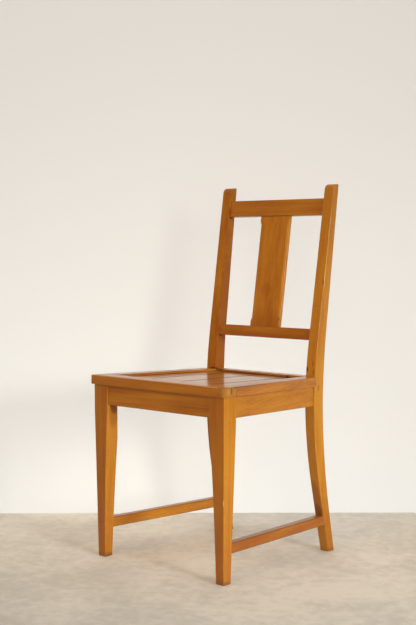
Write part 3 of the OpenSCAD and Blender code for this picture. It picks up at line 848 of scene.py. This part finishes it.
def floor_paint(tint):
    """A floor that the camera sees from above only."""
    paint = Paint("pale_floor")
    broad = paint.noise(paint.place(), 3.5, 5.0, 0.6)
    spots = paint.noise(paint.place(), 34.0, 6.0, 0.7)
    base = paint.mix((broad * 0.55 + spots * 0.45).step(0.38, 0.62),
                     [0.86 * c for c in tint], [min(1.0, 1.10 * c) for c in tint])
    solid = paint.node("ShaderNodeBsdfPrincipled", {}, {
        "Base Color": base, "Roughness": 0.62 + spots * 0.2})
    clear = paint.node("ShaderNodeBsdfTransparent")
    ray = paint.node("ShaderNodeLightPath")
    behind = paint.node("ShaderNodeNewGeometry").outputs["Backfacing"]
    from_below = Value(paint, ray.outputs["Is Camera Ray"]) * Value(paint, behind)
    return paint.finish(paint.node("ShaderNodeMixShader", {}, {
        0: from_below, 1: solid.outputs[0], 2: clear.outputs[0]}))


def wall_paint(look):
    """A wall that shows from its front only, so that it never hides the chair, and glows with painted
    light for the camera and in reflections.
    """
    paint = Paint("pale_wall")
    solid = paint.node("ShaderNodeBsdfDiffuse", {}, {"Color": look.wall})
    height = paint.parts(paint.place())[2].step(*WALL_SHADES)
    shown = paint.node("ShaderNodeEmission", {}, {
        "Color": paint.mix(height, look.low_wall, look.high_wall)})
    ray = paint.node("ShaderNodeLightPath")
    seen = Value(paint, ray.outputs["Is Camera Ray"]).largest(
        Value(paint, ray.outputs["Is Glossy Ray"]))
    lit = paint.node("ShaderNodeMixShader", {}, {
        0: seen * EVEN_SHARE, 1: solid.outputs[0], 2: shown.outputs[0]})
    clear = paint.node("ShaderNodeBsdfTransparent")
    behind = paint.node("ShaderNodeNewGeometry").outputs["Backfacing"]
    return paint.finish(paint.node("ShaderNodeMixShader", {}, {
        0: behind, 1: lit.outputs[0], 2: clear.outputs[0]}))


def light_all_round(world, strength):
    """Light that is dimmer and warmer from the side of the room before the chair."""
    heading = math.radians(DIM_HEADING)
    tree = world.node_tree
    direction = tree.nodes.new("ShaderNodeTexCoord").outputs["Generated"]
    facing = tree.nodes.new("ShaderNodeVectorMath")
    facing.operation = "DOT_PRODUCT"
    facing.inputs[1].default_value = (math.sin(heading), -math.cos(heading), 0.0)
    tree.links.new(direction, facing.inputs[0])
    shade = tree.nodes.new("ShaderNodeMapRange")
    shade.inputs["From Min"].default_value = DIM_SPAN[0]
    shade.inputs["From Max"].default_value = DIM_SPAN[1]
    shade.inputs["To Min"].default_value = 0.0
    shade.inputs["To Max"].default_value = 1.0
    tree.links.new(facing.outputs["Value"], shade.inputs["Value"])
    tint = tree.nodes.new("ShaderNodeMix")
    tint.data_type = "RGBA"
    tint.inputs[6].default_value = BRIGHT_SIDE
    tint.inputs[7].default_value = DIM_SIDE
    tree.links.new(shade.outputs["Result"], tint.inputs["Factor"])
    seen = tree.nodes.new("ShaderNodeMix")
    seen.data_type = "RGBA"
    seen.inputs[7].default_value = SEEN_SKY
    ray = tree.nodes.new("ShaderNodeLightPath")
    tree.links.new(ray.outputs["Is Camera Ray"], seen.inputs["Factor"])
    tree.links.new(tint.outputs[2], seen.inputs[6])
    background = tree.nodes["Background"]
    background.inputs["Strength"].default_value = strength
    tree.links.new(seen.outputs[2], background.inputs["Color"])


class CHAIR_OT_stage(bpy.types.Operator):
    """Makes the floor, the wall, the lamps and the camera"""
    bl_idname = "chair.stage"
    bl_label = "Stage"

    def execute(self, context):
        scene = context.scene
        look = scene.chair_stage
        turn = camera_turn()
        camera = bpy.data.objects.new("Camera", bpy.data.cameras.new("Camera"))
        scene.collection.objects.link(camera)
        camera.data.lens = look.lens
        camera.data.dof.use_dof = False
        camera.location = CAMERA_PLACE
        camera.rotation_euler = turn.to_euler()
        scene.camera = camera
        scene.view_settings.view_transform = "Standard"
        self.room(look)
        self.lamps(scene, look)
        return {"FINISHED"}

    def room(self, look):
        floor = plane("Floor", Vector((0, 0, -FLOOR_DROP)), Matrix.Identity(3),
                      ROOM_WIDTH, ROOM_WIDTH)
        floor.data.materials.append(floor_paint(look.floor))
        heading = Matrix.Rotation(math.radians(CAMERA_AZIMUTH), 3, "Z")
        ahead = heading @ Vector((0, 1, 0))
        centre = Vector((CAMERA_PLACE[0], CAMERA_PLACE[1], WALL_HEIGHT / 2))
        centre += ahead * look.wall_distance
        upright = heading @ Matrix.Rotation(math.radians(90), 3, "X")
        wall = plane("Wall", centre, upright, ROOM_WIDTH, WALL_HEIGHT)
        wall.data.materials.append(wall_paint(look))

    def lamps(self, scene, look):
        self.lamp("Window", WINDOW, look.window, DAYLIGHT)
        self.lamp("Far window", FAR_WINDOW, look.far_window, EVENING_LIGHT)
        self.lamp("Warm lamp", LAMP, look.lamp, LAMPLIGHT)
        world = bpy.data.worlds.new("Sky")
        scene.world = world
        world.use_nodes = True
        light_all_round(world, look.sky)

    def lamp(self, name, spot, power, tint):
        heading, rise, away, size, beam, aim = spot
        heading, rise = math.radians(heading), math.radians(rise)
        toward = Vector((math.sin(heading) * math.cos(rise),
                         -math.cos(heading) * math.cos(rise), math.sin(rise)))
        light = bpy.data.lights.new(name, "AREA")
        light.shape = "SQUARE"
        light.size = size
        light.energy = power
        light.color = tint
        light.spread = math.radians(beam)
        lamp = bpy.data.objects.new(name, light)
        bpy.context.scene.collection.objects.link(lamp)
        # The far window would burn out on the seat in views from behind
        lamp.visible_glossy = name != "Far window"
        lamp.location = Vector((0, 0, aim)) + toward * away
        lamp.rotation_euler = toward.to_track_quat("Z", "Y").to_euler()


class CHAIR_PT_sidebar(bpy.types.Panel):
    """Lists the sizes, the colours and the pieces of the chair"""
    bl_idname = "CHAIR_PT_sidebar"
    bl_label = "Varnished side chair"
    bl_space_type = "VIEW_3D"
    bl_region_type = "UI"
    bl_category = "Chair"

    def draw(self, context):
        for group in ("chair_edges", "chair_varnish", "chair_stage"):
            settings = getattr(context.scene, group)
            for name in settings.__annotations__:
                self.layout.prop(settings, name)
        for operator in OPERATORS:
            self.layout.operator(operator.bl_idname)


GROUPS = (ChairEdges, ChairVarnish, ChairStage)
OPERATORS = (CHAIR_OT_stage, CHAIR_OT_front_legs, CHAIR_OT_back_posts, CHAIR_OT_aprons,
             CHAIR_OT_seat_frame, CHAIR_OT_seat_boards, CHAIR_OT_back,
             CHAIR_OT_stretchers, CHAIR_OT_blocks)
CLASSES = GROUPS + OPERATORS + (CHAIR_PT_sidebar,)


def register():
    for made in CLASSES:
        bpy.utils.register_class(made)
    bpy.types.Scene.chair_edges = bpy.props.PointerProperty(type=ChairEdges)
    bpy.types.Scene.chair_varnish = bpy.props.PointerProperty(type=ChairVarnish)
    bpy.types.Scene.chair_stage = bpy.props.PointerProperty(type=ChairStage)


def unregister():
    del bpy.types.Scene.chair_edges
    del bpy.types.Scene.chair_varnish
    del bpy.types.Scene.chair_stage
    for made in reversed(CLASSES):
        bpy.utils.unregister_class(made)


def main():
    register()
    bpy.ops.chair.stage()
    bpy.ops.chair.front_legs()
    bpy.ops.chair.back_posts()
    bpy.ops.chair.aprons()
    bpy.ops.chair.seat_frame()
    bpy.ops.chair.seat_boards()
    bpy.ops.chair.back()
    bpy.ops.chair.stretchers()
    bpy.ops.chair.blocks()


if __name__ == "__main__":
    main()
